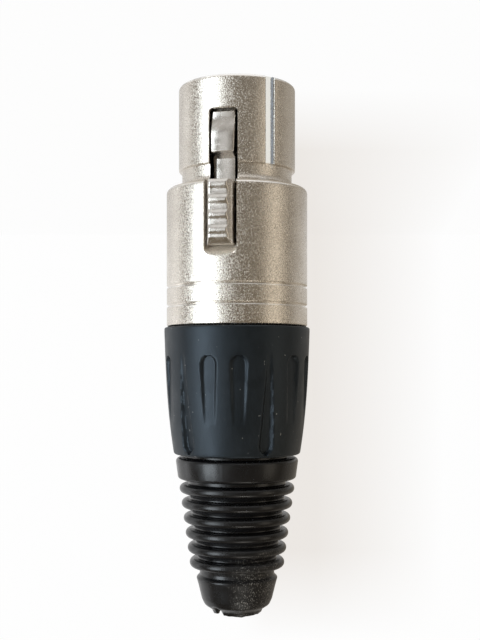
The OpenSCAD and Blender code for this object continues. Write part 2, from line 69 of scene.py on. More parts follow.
class Slot(Enum):
    """The material slots that the pieces take their finish from."""

    NICKEL = "nickel"
    LATCH = "latch_metal"
    INSERT = "insert_plastic"
    CONTACT = "contact_metal"
    STRIP = "strip_metal"
    SPRING = "spring_steel"
    CHUCK = "chuck_plastic"
    NUT = "nut_plastic"
    BOOT = "boot_rubber"


class Body(Enum):
    """The CAD bodies that pieces ride on."""

    SHELL = "shell"
    LATCH = "latch"
    BOOT = "boot"
    NUT = "nut"


def rounded_loop(
    corners: Sequence[tuple[float, float, float]], arc_step: float = 9.0
) -> np.ndarray:
    """Closed outline through corners, each rounded by an arc that touches both of its sides.

    A corner with radius f and side directions a and b, at angle t to each other, has its arc's
    ends f / tan(t / 2) away along both sides, and its centre f / sin(t / 2) away between them.

    Args:
        corners: (x, y, radius) of each corner, in order.
        arc_step: largest turn between two points of an arc, in degrees.

    Returns:
        Array of (x, y) points, without a repeat of the first.
    """
    xy = np.array([c[:2] for c in corners], float)
    out: list[np.ndarray] = []
    count = len(xy)
    for i, (_, _, radius) in enumerate(corners):
        here = xy[i]
        back = xy[i - 1] - here
        ahead = xy[(i + 1) % count] - here
        len_back = np.linalg.norm(back)
        len_ahead = np.linalg.norm(ahead)
        if radius <= 0 or len_back == 0 or len_ahead == 0:
            out.append(here[None])
            continue
        back /= len_back
        ahead /= len_ahead
        between = math.acos(float(np.clip(back @ ahead, -1, 1)))
        if between > math.pi - NEARLY_STRAIGHT:
            out.append(here[None])
            continue
        reach = min(radius / math.tan(between / 2), 0.499 * len_back, 0.499 * len_ahead)
        used = reach * math.tan(between / 2)
        middle = back + ahead
        centre = here + middle / np.linalg.norm(middle) * used / math.sin(between / 2)
        first = here + back * reach - centre
        last = here + ahead * reach - centre
        steps = max(2, math.ceil(math.degrees(math.pi - between) / arc_step))
        share = np.linspace(0, 1, steps + 1)[:, None]
        turn = math.pi - between
        arc = (np.sin((1 - share) * turn) * first + np.sin(share * turn) * last) / math.sin(turn)
        out.append(centre + arc)
    return np.vstack(out)


def densify(loop: np.ndarray, step: float, low: float = -1e9, high: float = 1e9) -> np.ndarray:
    """Closed outline with points no further apart than step where its height is in a range.

    Args:
        loop: (x, height) points of a closed outline.
        step: largest distance between neighbours inside the range.
        low: lowest height of the range.
        high: highest height of the range.

    Returns:
        The outline with points added on its straight stretches.
    """
    ahead = np.roll(loop, -1, axis=0)
    out: list[np.ndarray] = []
    for a, b in zip(loop, ahead):
        inside = min(a[1], b[1]) >= low and max(a[1], b[1]) <= high
        parts = math.ceil(np.linalg.norm(b - a) / step) if inside else 1
        share = np.arange(max(parts, 1))[:, None] / max(parts, 1)
        out.append(a + (b - a) * share)
    return np.vstack(out)


def smooth(x: np.ndarray, low: float, high: float) -> np.ndarray:
    """Smooth step: 0 below low, 1 above high, 3t^2 - 2t^3 between them."""
    t = np.clip((x - low) / (high - low), 0, 1)
    return t * t * (3 - 2 * t)


def revolve(loop: np.ndarray, turns: int) -> tuple[np.ndarray, np.ndarray, np.ndarray]:
    """Grid of a closed outline turned round the axis.

    Row i, column j holds outline point i at azimuth 2 pi j / turns: its radius, height and
    azimuth, to be changed before cylinder_points places them.

    Args:
        loop: (radius, height) points of a closed outline.
        turns: number of columns round the axis.

    Returns:
        Arrays of radius, height and azimuth, each of shape (points, turns).
    """
    azimuth = np.arange(turns) * 2 * math.pi / turns
    radius, angle = np.meshgrid(loop[:, 0], azimuth, indexing="ij")
    height = np.repeat(loop[:, 1:2], turns, axis=1)
    return radius, height, angle


def cylinder_points(radius: np.ndarray, height: np.ndarray, azimuth: np.ndarray) -> np.ndarray:
    """Points (r sin a, -r cos a, z) of a grid in radius r, height z and azimuth a."""
    return np.stack([radius * np.sin(azimuth), -radius * np.cos(azimuth), height], axis=-1)


def new_mesh(name: str, points: np.ndarray, faces: list[np.ndarray], sharp: float) -> bpy.types.Object:
    """Object of one closed mesh, with its faces turned outwards.

    The signed volume is the sum over triangles (a, b, c) of a . (b x c) / 6; where it is
    negative, every face is turned round.

    Args:
        name: name of the piece.
        points: (n, 3) points, in millimetres.
        faces: arrays of faces, each with one row per face.
        sharp: edges that bend by more than this many degrees are shown sharp.

    Returns:
        The new object, linked to the scene, at the origin.
    """
    volume = 0.0
    for block in faces:
        for k in range(1, block.shape[1] - 1):
            a, b, c = points[block[:, 0]], points[block[:, k]], points[block[:, k + 1]]
            volume += float(np.einsum("ij,ij->", a, np.cross(b, c)))
    if volume < 0:
        faces = [block[:, ::-1] for block in faces]
    mesh = bpy.data.meshes.new(name)
    sizes = np.concatenate([np.full(len(block), block.shape[1]) for block in faces])
    loops = np.concatenate([block.ravel() for block in faces])
    mesh.vertices.add(len(points))
    mesh.vertices.foreach_set("co", (points * MM).astype(np.float32).ravel())
    mesh.loops.add(len(loops))
    mesh.loops.foreach_set("vertex_index", loops.astype(np.int32))
    mesh.polygons.add(len(sizes))
    starts = np.concatenate([[0], np.cumsum(sizes)[:-1]])
    mesh.polygons.foreach_set("loop_start", starts.astype(np.int32))
    mesh.polygons.foreach_set("loop_total", sizes.astype(np.int32))
    mesh.update(calc_edges=True)
    mesh.validate()
    soften(mesh, sharp)
    piece = bpy.data.objects.new(name, mesh)
    bpy.context.scene.collection.objects.link(piece)
    return piece


def soften(mesh: bpy.types.Mesh, sharp: float) -> None:
    """Shades a mesh smooth, apart from edges that bend by more than sharp degrees."""
    mesh.polygons.foreach_set("use_smooth", np.ones(len(mesh.polygons), bool))
    mesh.set_sharp_from_angle(angle=math.radians(sharp))


def grid_faces(rows: int, columns: int, close_rows: bool, close_columns: bool) -> np.ndarray:
    """Four-cornered faces of a grid whose point (i, j) has number i * columns + j."""
    i = np.arange(rows if close_rows else rows - 1)
    j = np.arange(columns if close_columns else columns - 1)
    i, j = np.meshgrid(i, j, indexing="ij")
    i1, j1 = (i + 1) % rows, (j + 1) % columns
    corners = [i * columns + j, i * columns + j1, i1 * columns + j1, i1 * columns + j]
    return np.stack(corners, axis=-1).reshape(-1, 4)


def ring_solid(name: str, points: np.ndarray, sharp: float = 40.0) -> bpy.types.Object:
    """Closed solid from a grid that closes in both directions, as a turned ring does."""
    rows, columns = points.shape[:2]
    faces = grid_faces(rows, columns, close_rows=True, close_columns=True)
    return new_mesh(name, points.reshape(-1, 3), [faces], sharp)


def layered_solid(name: str, layers: np.ndarray, sharp: float = 40.0) -> bpy.types.Object:
    """Closed solid from outlines stacked in layers, with a flat cap on the first and last.

    Args:
        name: name of the piece.
        layers: (layers, outline points, 3) points, each layer a closed outline.
        sharp: edges that bend by more than this many degrees are shown sharp.

    Returns:
        The new object.
    """
    rows, columns = layers.shape[:2]
    sides = grid_faces(rows, columns, close_rows=False, close_columns=True)
    low = np.arange(columns)[None, ::-1]
    high = (rows - 1) * columns + np.arange(columns)[None]
    return new_mesh(name, layers.reshape(-1, 3), [sides, low, high], sharp)


def inset(outline: np.ndarray, distance: float) -> np.ndarray:
    """Closed outline moved inwards by a distance, along the mean normal at each point."""
    along = np.roll(outline, -1, axis=0) - np.roll(outline, 1, axis=0)
    along /= np.maximum(np.linalg.norm(along, axis=1, keepdims=True), 1e-9)
    normal = np.stack([along[:, 1], -along[:, 0]], axis=1)
    x, y = outline[:, 0], outline[:, 1]
    area = 0.5 * float(np.sum(x * np.roll(y, -1) - np.roll(x, -1) * y))
    return outline - math.copysign(distance, area) * normal


def across_layers(outline: np.ndarray, half: np.ndarray, edge: float, steps: int = 4) -> np.ndarray:
    """Layers of a plate that lies across the latch, with rounded long edges.

    At angle p from 0 to 90 degrees the outline is inset by edge (1 - sin p) and stands at
    half - edge (1 - cos p), mirrored for the other side.

    Args:
        outline: (z, height above the axis) points of the plate's side view.
        half: half width of the plate at each outline point.
        edge: radius of the rounded edges.
        steps: number of steps in the rounding.

    Returns:
        (layers, points, 3) array of points.
    """
    angles = np.linspace(0, math.pi / 2, steps + 1)
    layers = []
    for p in angles:
        shape = inset(outline, edge * (1 - math.sin(p)))
        x = half - edge * (1 - math.cos(p))
        layers.append(np.stack([x, -shape[:, 1], shape[:, 0]], axis=1))
    mirrored = [layer * np.array([-1, 1, 1]) for layer in layers]
    return np.array(layers + mirrored[::-1])


def cut_away(piece: bpy.types.Object, cutters: Sequence[bpy.types.Object], sharp: float) -> None:
    """Takes cutters away from a piece, applies the result to its mesh and removes the cutters."""
    for cutter in cutters:
        step = piece.modifiers.new("cut", "BOOLEAN")
        step.operation = "DIFFERENCE"
        step.solver = "EXACT"
        step.object = cutter
    graph = bpy.context.evaluated_depsgraph_get()
    mesh = bpy.data.meshes.new_from_object(piece.evaluated_get(graph))
    piece.modifiers.clear()
    piece.data = mesh
    soften(mesh, sharp)
    for cutter in cutters:
        bpy.data.objects.remove(cutter)


class Nodes:
    """A material's node tree, with short calls to add and join nodes."""

    def __init__(self, name: str) -> None:
        """Makes an empty material of that name with an output node."""
        self.material = bpy.data.materials.new(name)
        self.material.use_nodes = True
        self.tree = self.material.node_tree
        self.tree.nodes.clear()
        self.output = self.add("ShaderNodeOutputMaterial")
        self.coordinates = self.add("ShaderNodeTexCoord")

    def add(self, kind: str, **values: object) -> bpy.types.Node:
        """Adds a node and sets its properties or, by name, its input values."""
        node = self.tree.nodes.new(kind)
        for key, value in values.items():
            if hasattr(node, key):
                setattr(node, key, value)
            else:
                node.inputs[key.replace("_", " ")].default_value = value
        return node

    def join(self, source: bpy.types.NodeSocket, target: bpy.types.NodeSocket) -> None:
        """Links an output socket to an input socket."""
        self.tree.links.new(source, target)

    def place(self) -> bpy.types.NodeSocket:
        """The piece's own coordinates, in metres from the origin."""
        return self.coordinates.outputs["Object"]

    def noise(self, scale: float, detail: float = 2.0, rough: float = 0.5) -> bpy.types.NodeSocket:
        """Noise of a scale per metre, as a value round 0.5."""
        node = self.add("ShaderNodeTexNoise", Scale=scale, Detail=detail, Roughness=rough)
        self.join(self.place(), node.inputs["Vector"])
        return node.outputs["Fac"]

    def stretched_noise(self, scale: Sequence[float], detail: float) -> bpy.types.NodeSocket:
        """Noise with its own scale per metre along X, Y and Z."""
        mapping = self.add("ShaderNodeMapping")
        mapping.inputs["Scale"].default_value = tuple(scale)
        self.join(self.place(), mapping.inputs["Vector"])
        node = self.add("ShaderNodeTexNoise", Scale=1.0, Detail=detail)
        self.join(mapping.outputs["Vector"], node.inputs["Vector"])
        return node.outputs["Fac"]

    def remap(
        self, value: bpy.types.NodeSocket, low: float, high: float, to_low: float, to_high: float
    ) -> bpy.types.NodeSocket:
        """Straight-line change of a value's range, held at its ends."""
        node = self.add("ShaderNodeMapRange")
        for name, number in zip(
            ("From Min", "From Max", "To Min", "To Max"), (low, high, to_low, to_high)
        ):
            node.inputs[name].default_value = number
        self.join(value, node.inputs["Value"])
        return node.outputs["Result"]

    def maths(self, operation: str, *values: object) -> bpy.types.NodeSocket:
        """A Math node on sockets or plain numbers."""
        node = self.add("ShaderNodeMath", operation=operation)
        for socket, value in zip(node.inputs, values):
            if isinstance(value, bpy.types.NodeSocket):
                self.join(value, socket)
            else:
                socket.default_value = value
        return node.outputs[0]

    def mix_colour(
        self, share: bpy.types.NodeSocket, first: object, second: object
    ) -> bpy.types.NodeSocket:
        """Mixes two colours, each a socket or three numbers, by a share."""
        node = self.add("ShaderNodeMix", data_type="RGBA")
        self.join(share, node.inputs[0])
        for socket, value in zip((node.inputs[6], node.inputs[7]), (first, second)):
            if isinstance(value, bpy.types.NodeSocket):
                self.join(value, socket)
            else:
                socket.default_value = (*value, 1.0)
        return node.outputs[2]

    def bump(
        self,
        height: bpy.types.NodeSocket,
        strength: float,
        distance: float,
        under: bpy.types.NodeSocket | None = None,
    ) -> bpy.types.NodeSocket:
        """A Bump node with a distance in metres, on top of another normal if one is given."""
        node = self.add("ShaderNodeBump", Strength=strength, Distance=distance)
        self.join(height, node.inputs["Height"])
        if under is not None:
            self.join(under, node.inputs["Normal"])
        return node.outputs["Normal"]

    def axes(self) -> bpy.types.NodeOutputs:
        """The X, Y and Z outputs of the piece's own coordinates."""
        split = self.add("ShaderNodeSeparateXYZ")
        self.join(self.place(), split.inputs[0])
        return split.outputs

    def height_mask(self, low: float, high: float, soft: float) -> bpy.types.NodeSocket:
        """1 between two heights along the plug in millimetres, fading over soft at both ends."""
        z = self.axes()["Z"]
        up = self.remap(z, (low - soft) * MM, (low + soft) * MM, 0, 1)
        down = self.remap(z, (high - soft) * MM, (high + soft) * MM, 1, 0)
        return self.maths("MULTIPLY", up, down)

    def radius_mask(self, limit: float, soft: float) -> bpy.types.NodeSocket:
        """1 nearer to the axis than a limit in millimetres, fading to 0 over soft beyond it."""
        axes = self.axes()
        squares = [self.maths("MULTIPLY", axes[name], axes[name]) for name in ("X", "Y")]
        radius = self.maths("SQRT", self.maths("ADD", *squares))
        return self.remap(radius, limit * MM, (limit + soft) * MM, 1, 0)

    def side_mask(self, azimuth: float, width: float, full: float = 0.0) -> bpy.types.NodeSocket:
        """1 on the side that faces an azimuth, fading to 0 over width degrees away from it.

        It stays 1 up to the share full of that width. The cosine of the angle away is the dot
        product of the level direction to the point and the azimuth's own direction.
        """
        a = math.radians(azimuth)
        axes = self.axes()
        flat = self.add("ShaderNodeCombineXYZ")
        for name in ("X", "Y"):
            self.join(axes[name], flat.inputs[name])
        unit = self.add("ShaderNodeVectorMath", operation="NORMALIZE")
        self.join(flat.outputs[0], unit.inputs[0])
        dot = self.add("ShaderNodeVectorMath", operation="DOT_PRODUCT")
        self.join(unit.outputs[0], dot.inputs[0])
        dot.inputs[1].default_value = (math.sin(a), -math.cos(a), 0)
        edge, inner = math.cos(math.radians(width)), math.cos(math.radians(width * full))
        return self.remap(dot.outputs["Value"], edge, inner, 0, 1)

    def surface(self, **values: object) -> bpy.types.Node:
        """A Principled shader with plain values on its sockets, joined to the output."""
        shader = self.add("ShaderNodeBsdfPrincipled")
        for key, value in values.items():
            shader.inputs[key.replace("_", " ")].default_value = value
        self.join(shader.outputs[0], self.output.inputs["Surface"])
        return shader


@dataclass(frozen=True)
class SatinNickel:
    """Satin nickel plate over a die-cast and tumbled shell: a sparkling fine grain.

    Handled edges and the key groove are worn smooth. The edge and ring-groove bands are painted
    paler as painted highlight lines. The key groove is painted pale blue as a painted reflection,
    and the walls of the button's slot are light brown and less metallic as painted bounce light.
    """

    name: str = "satin_nickel"
    colour: Colour = (0.84, 0.79, 0.72)
    colour_low: Colour = (0.60, 0.55, 0.49)
    # Light brown of the slot's walls: painted bounce light from the button.
    cast: Colour = (0.72, 0.64, 0.54)
    # Pale blue of the key groove: a painted reflection.
    groove: Colour = (0.74, 0.80, 0.88)
    # Paler colour of the edge and ring-groove bands: a painted highlight.
    edge: Colour = (0.95, 0.93, 0.90)
    roughness: float = 0.27
    worn_share: float = 0.4
    # Metallic share of the slot's walls, lowered for the painted bounce light.
    bounce_light_metallic: float = 0.2
    grain_scale: float = 6200.0
    grain_depth: float = 0.00004
    peak_depth: float = 0.00001
    wave_depth: float = 0.00006
    groove_azimuth: float = -47.0
    groove_angle: float = 6.5
    groove_r: float = 7.65
    groove_end: float = 11.3
    worn_highlight_bands: tuple[tuple[float, float], ...] = (
        (-5.0, 0.3), (13.7, 14.2), (27.05, 27.32), (29.6, 29.87),
    )
    slot_band: tuple[float, float] = (13.8, 24.6)
    slot_r: float = 9.40

    def groove_mask(self, nodes: Nodes) -> bpy.types.NodeSocket:
        """1 on the floor and walls of the key groove in the barrel."""
        side = nodes.side_mask(self.groove_azimuth, self.groove_angle, 0.9)
        deep = nodes.maths("MULTIPLY", side, nodes.radius_mask(self.groove_r, 0.05))
        return nodes.maths("MULTIPLY", deep, nodes.height_mask(-5.0, self.groove_end, 0.1))

    def worn_highlight_mask(self, nodes: Nodes) -> bpy.types.NodeSocket:
        """1 on the bands of height where edges are worn smooth and painted paler as painted highlight
        lines.
        """
        bands = [nodes.height_mask(low, high, 0.06) for low, high in self.worn_highlight_bands]
        total = bands[0]
        for band in bands[1:]:
            total = nodes.maths("ADD", total, band)
        return total

    def make(self) -> bpy.types.Material:
        """Builds the material."""
        nodes = Nodes(self.name)
        grain = nodes.noise(self.grain_scale, 3.0, 0.6)
        cloud = nodes.noise(320.0, 3.0)
        groove, edges = self.groove_mask(nodes), self.worn_highlight_mask(nodes)
        worn = nodes.maths("MAXIMUM", groove, edges)
        # Mask of the slot's walls, which get the painted bounce light.
        inside = nodes.radius_mask(self.slot_r, 0.08)
        cast = nodes.maths("MULTIPLY", nodes.height_mask(*self.slot_band, 0.1), inside)
        shader = nodes.surface()
        tint = nodes.remap(grain, 0.35, 0.65, 0, 0.6)
        tint = nodes.maths("ADD", tint, nodes.remap(cloud, 0.3, 0.7, 0, 0.4))
        colour = nodes.mix_colour(tint, self.colour_low, self.colour)
        # Painted light: highlight on edge bands, reflection in the key groove, bounce in the slot.
        for mask, own in ((edges, self.edge), (groove, self.groove), (cast, self.cast)):
            colour = nodes.mix_colour(mask, colour, own)
        nodes.join(colour, shader.inputs["Base Color"])
        nodes.join(nodes.remap(cast, 0, 1, 1.0, self.bounce_light_metallic), shader.inputs["Metallic"])
        rough = nodes.remap(grain, 0.3, 0.7, self.roughness - 0.08, self.roughness + 0.08)
        rough = nodes.maths("MULTIPLY", rough, nodes.remap(worn, 0, 1, 1, self.worn_share))
        nodes.join(rough, shader.inputs["Roughness"])
        height = nodes.maths("MULTIPLY", grain, nodes.remap(worn, 0, 1, 1, 0))
        wave = nodes.bump(nodes.noise(700.0, 2.0), 0.10, self.wave_depth)
        fine = nodes.bump(height, 1.0, self.grain_depth, wave)
        peaks = nodes.remap(height, 0.58, 0.72, 0, 1)
        nodes.join(nodes.bump(peaks, 1.0, self.peak_depth, fine), shader.inputs["Normal"])
        return nodes.material


@dataclass(frozen=True)
class SmoothMetal:
    """Plated or bare sheet metal with faint drawn lines and a soft gloss."""

    name: str
    colour: Colour
    roughness: float = 0.28
    line_depth: float = 0.000006

    def make(self) -> bpy.types.Material:
        """Builds the material."""
        nodes = Nodes(self.name)
        cloud = nodes.noise(900.0, 3.0)
        dark = tuple(0.84 * c for c in self.colour)
        shader = nodes.surface(Metallic=1.0)
        share = nodes.remap(cloud, 0.35, 0.65, 0, 1)
        nodes.join(nodes.mix_colour(share, dark, self.colour), shader.inputs["Base Color"])
        rough = nodes.remap(cloud, 0.3, 0.7, self.roughness - 0.06, self.roughness + 0.08)
        nodes.join(rough, shader.inputs["Roughness"])
        lines = nodes.stretched_noise((9000.0, 9000.0, 900.0), 2.0)
        nodes.join(nodes.bump(lines, 0.4, self.line_depth), shader.inputs["Normal"])
        return nodes.material


@dataclass(frozen=True)
class MouldedPlastic:
    """Moulded plastic with the fine matt grain of its tool, faint clouds and specks of dust."""

    name: str
    colour: Colour
    roughness: float = 0.42
    grain_scale: float = 5600.0
    grain_depth: float = 0.00002
    tint: Colour = (1.0, 1.0, 1.0)
    dust: float = 0.0
    dust_colour: Colour = (0.7, 0.7, 0.68)

    def make(self) -> bpy.types.Material:
        """Builds the material."""
        nodes = Nodes(self.name)
        grain = nodes.noise(self.grain_scale, 2.0)
        cloud = nodes.noise(420.0, 4.0, 0.6)
        pale = tuple(1.35 * c + 0.003 for c in self.colour)
        shader = nodes.surface(Specular_Tint=(*self.tint, 1.0))
        share = nodes.remap(cloud, 0.35, 0.7, 0, 1)
        colour = nodes.mix_colour(share, self.colour, pale)
        speck = nodes.remap(nodes.noise(2300.0, 1.0), 0.76, 0.79, 0, self.dust)
        nodes.join(nodes.mix_colour(speck, colour, self.dust_colour), shader.inputs["Base Color"])
        rough = nodes.remap(cloud, 0.3, 0.7, self.roughness - 0.04, self.roughness + 0.07)
        nodes.join(rough, shader.inputs["Roughness"])
        nodes.join(nodes.bump(grain, 0.5, self.grain_depth), shader.inputs["Normal"])
        return nodes.material


@dataclass(frozen=True)
class WornRubber:
    """Black semi-gloss rubber, scuffed pale on one side near the cut end."""

    name: str = "boot_rubber"
    colour: Colour = (0.008, 0.008, 0.009)
    dust: Colour = (0.36, 0.35, 0.33)
    roughness: float = 0.27
    scuff_azimuth: float = -48.0
    scuff_low: float = 62.0
    scuff_high: float = 71.5

    def make(self) -> bpy.types.Material:
        """Builds the material."""
        nodes = Nodes(self.name)
        cloud = nodes.noise(500.0, 4.0, 0.65)
        scratch = nodes.stretched_noise((8000.0, 8000.0, 3600.0), 3.0)
        line = nodes.remap(scratch, 0.56, 0.66, 0, 1)
        patch = nodes.remap(cloud, 0.38, 0.52, 0, 1)
        zone = nodes.maths(
            "MULTIPLY",
            nodes.height_mask(self.scuff_low, self.scuff_high, 1.5),
            nodes.side_mask(self.scuff_azimuth, 50.0, 0.4),
        )
        scuff = nodes.maths("MULTIPLY", nodes.maths("MULTIPLY", line, patch), zone)
        shader = nodes.surface(Specular_IOR_Level=0.4)
        share = nodes.maths("MULTIPLY", scuff, 0.75)
        nodes.join(nodes.mix_colour(share, self.colour, self.dust), shader.inputs["Base Color"])
        base = nodes.remap(cloud, 0.3, 0.7, self.roughness - 0.04, self.roughness + 0.08)
        rough = nodes.maths("ADD", base, nodes.maths("MULTIPLY", zone, 0.12))
        nodes.join(rough, shader.inputs["Roughness"])
        soft = nodes.bump(nodes.noise(900.0, 3.0), 0.25, 0.00004)
        fine = nodes.bump(nodes.noise(6500.0, 2.0), 0.35, 0.00001, soft)
        nodes.join(fine, shader.inputs["Normal"])
        return nodes.material


class Finishes:
    """The finished materials, made once each and put on the pieces."""

    def __init__(self) -> None:
        """Builds every material."""
        self.made: dict[Slot, bpy.types.Material] = {
            Slot.NICKEL: SatinNickel().make(),
            Slot.LATCH: SmoothMetal("latch_nickel", (0.78, 0.745, 0.70), 0.23).make(),
            Slot.INSERT: MouldedPlastic("insert_black", (0.018, 0.018, 0.020), 0.45).make(),
            Slot.CONTACT: SmoothMetal("contact_gold", (0.83, 0.62, 0.26), 0.22).make(),
            Slot.STRIP: SmoothMetal("strip_brass", (0.74, 0.66, 0.46), 0.3).make(),
            Slot.SPRING: SmoothMetal("spring_steel", (0.55, 0.55, 0.55), 0.3).make(),
            Slot.CHUCK: MouldedPlastic("chuck_white", (0.78, 0.78, 0.74), 0.38).make(),
            Slot.NUT: MouldedPlastic(
                "nut_black", (0.005, 0.007, 0.009), 0.45, tint=(0.72, 0.86, 1.0), dust=0.3
            ).make(),
            Slot.BOOT: WornRubber().make(),
        }

    def put(self, piece: bpy.types.Object, slot: Slot) -> None:
        """Gives a piece the material of a slot, in place of what it has."""
        piece.data.materials.clear()
        piece.data.materials.append(self.made[slot])


def dress(piece: bpy.types.Object, body: Body, slot: Slot, node: str, finishes: Finishes) -> None:
    """Puts a piece on its body and slot, in place of its CAD node, and reports it."""
    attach(piece, body.value)
    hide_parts(node)
    finishes.put(piece, slot)
    LOG.info("%s: %d faces", piece.name, len(piece.data.polygons))


@dataclass
class Shell:
    """The die-cast housing: barrel, neck, body with the button's slot, and threaded tail."""

    barrel_r: float = 7.9
    bore_r: float = 6.7
    barrel_end: float = 11.45
    neck_r: float = 7.45
    body_start: float = 13.75
    body_r: float = 9.56
    body_bore_r: float = 7.5
    seat_z: float = 14.75
    body_end: float = 32.4
    ring_grooves: tuple[float, float] = (27.05, 29.6)
    groove_w: float = 0.42
    groove_depth: float = 0.2
    tail_r: float = 8.3
    tail_end: float = 38.5
    thread_pitch: float = 1.2
    thread_depth: float = 0.42
    key_w: float = 1.25
    key_depth: float = 0.55
    key_azimuth: float = -47.0
    window_w: float = 3.7
    window_front: float = 4.45
    slot_w: float = 4.2
    slot_end: float = 23.0
    slot_round: float = 0.55
    end_slope: float = 34.0
    bevel: float = 0.23
    turns: int = 360

    def outline(self) -> np.ndarray:
        """(radius, height) outline of the shell's wall, with its ring grooves."""
        grooves: list[tuple[float, float, float]] = []
        for z in self.ring_grooves:
            half = self.groove_w / 2
            grooves += [
                (self.body_r, z - half, 0.08),
                (self.body_r - self.groove_depth, z, 0.05),
                (self.body_r, z + half, 0.08),
            ]
        corners = [
            (self.bore_r, 0.0, 0.2),
            (self.barrel_r, 0.0, 0.5),
            (self.barrel_r, self.barrel_end, 0.3),
            (self.neck_r, self.barrel_end, 0.1),
            (self.neck_r, self.body_start, 1.0),
            (self.body_r, self.body_start, 0.75),
            *grooves,
            (self.body_r, self.body_end, 0.28),
            (self.tail_r, self.body_end, 0.1),
            (self.tail_r, self.tail_end, 0.2),
            (self.body_bore_r, self.tail_end, 0.1),
            (self.body_bore_r, self.seat_z, 0.1),
            (self.bore_r, self.seat_z, 0.1),
        ]
        return rounded_loop(corners)

    def thread(self, height: np.ndarray, azimuth: np.ndarray) -> np.ndarray:
        """Depth of a right-hand thread: a triangle wave of height / pitch - azimuth / 2 pi."""
        phase = (height - self.body_end) / self.thread_pitch - azimuth / (2 * math.pi)
        wave = np.abs(2 * (phase - np.floor(phase)) - 1)
        inside = smooth(height, self.body_end + 0.3, self.body_end + 0.9)
        inside *= 1 - smooth(height, self.tail_end - 0.6, self.tail_end - 0.3)
        return self.thread_depth * inside * np.clip(1.3 * wave - 0.15, 0, 1)

    def slot_cutter(
        self, name: str, width: float, low: float, high: float, floor: float, is_open: bool
    ) -> bpy.types.Object:
        """Solid that cuts an opening through the latch side, flared at the outer surface.

        Layers lie at rising heights above the axis. Each is a rectangle with round corners
        that grows by the bevel where it passes the surface. An open slot is for the button:
        it runs out of the body's front without widening the neck, and its far end leans back.

        Args:
            name: name of the cutter.
            width: width of the opening.
            low: where the opening starts along the plug.
            high: where it ends, at its floor.
            floor: height of the cutter's inner end above the axis.
            is_open: whether it is the open slot in the body.

        Returns:
            The cutter.
        """
        surface = self.body_r if is_open else self.barrel_r
        edge = math.sqrt(surface**2 - width**2 / 4)
        lean = math.tan(math.radians(self.end_slope)) if is_open else 0.0
        b = self.bevel
        steps = [(floor, 0.0), (edge - b, 0.0)]
        if is_open:
            steps[1:1] = [(self.neck_r, 0.0), (self.neck_r + 0.01, 0.0)]
        steps += [(edge - 0.35 * b, 0.3 * b), (edge + b, b * 1.9)]
        steps.append((surface + (3 if is_open else 0.06), b * 1.9))
        layers = []
        for h, grow in steps:
            end = high + max(0.0, h - self.body_bore_r) * lean + grow
            half = width / 2 + grow
            front = low - 0.4 * grow
            if is_open:
                front = low + 0.25 if h <= self.neck_r else low - 1
            front_round = 0.0 if is_open else 0.3 + grow
            corners = [
                (-half, front, front_round),
                (half, front, front_round),
                (half, end, self.slot_round + grow),
                (-half, end, self.slot_round + grow),
            ]
            shape = rounded_loop(corners, COARSE_ARC)
            layers.append(np.column_stack([shape[:, 0], np.full(len(shape), -h), shape[:, 1]]))
        return layered_solid(name, np.array(layers))

    def key_cutter(self) -> bpy.types.Object:
        """Bar that cuts the key groove: a section with a flat floor and a rounded mouth."""
        a = math.radians(self.key_azimuth)
        half, mouth = self.key_w / 2, 0.26
        floor = self.barrel_r - self.key_depth
        top = math.sqrt(self.barrel_r**2 - half**2)
        right = [(half - 0.08, floor), (half, floor + 0.08)]
        for turn in np.radians(np.arange(0, 91, 15)):
            right.append((half + mouth * (1 - math.cos(turn)), top - mouth * (1 - math.sin(turn))))
        right.append((half + mouth, top + 1))
        section = np.array([(-x, y) for x, y in right[::-1]] + right)
        side = np.array([math.cos(a), math.sin(a), 0])
        out = np.array([math.sin(a), -math.cos(a), 0])
        ring = section[:, :1] * side + section[:, 1:] * out
        ends = [ring + np.array([0, 0, z]) for z in (-1.0, self.barrel_end + 0.6)]
        return layered_solid("key_cutter", np.array(ends))

    def build(self) -> bpy.types.Object:
        """Builds the shell: a turned wall with a thread, less its openings."""
        loop = densify(self.outline(), 0.13, self.body_end + 0.05, self.tail_end - 0.1)
        loop = densify(loop, 0.5, 0.4, self.body_end - 0.4)
        radius, height, azimuth = revolve(loop, self.turns)
        outer = radius > self.tail_r - 0.05
        inner_tail = outer & (height > self.body_end + 0.1)
        radius = radius - np.where(inner_tail, self.thread(height, azimuth), 0)
        piece = ring_solid("shell_housing", cylinder_points(radius, height, azimuth))
        cutters = [
            self.slot_cutter(
                "window_cutter", self.window_w, self.window_front, self.body_start + 0.6, 5.2, False
            ),
            self.slot_cutter(
                "slot_cutter", self.slot_w, self.body_start, self.slot_end - 1.1, 5.7, True
            ),
            self.key_cutter(),
        ]
        cut_away(piece, cutters, SHELL_CREASE)
        return piece


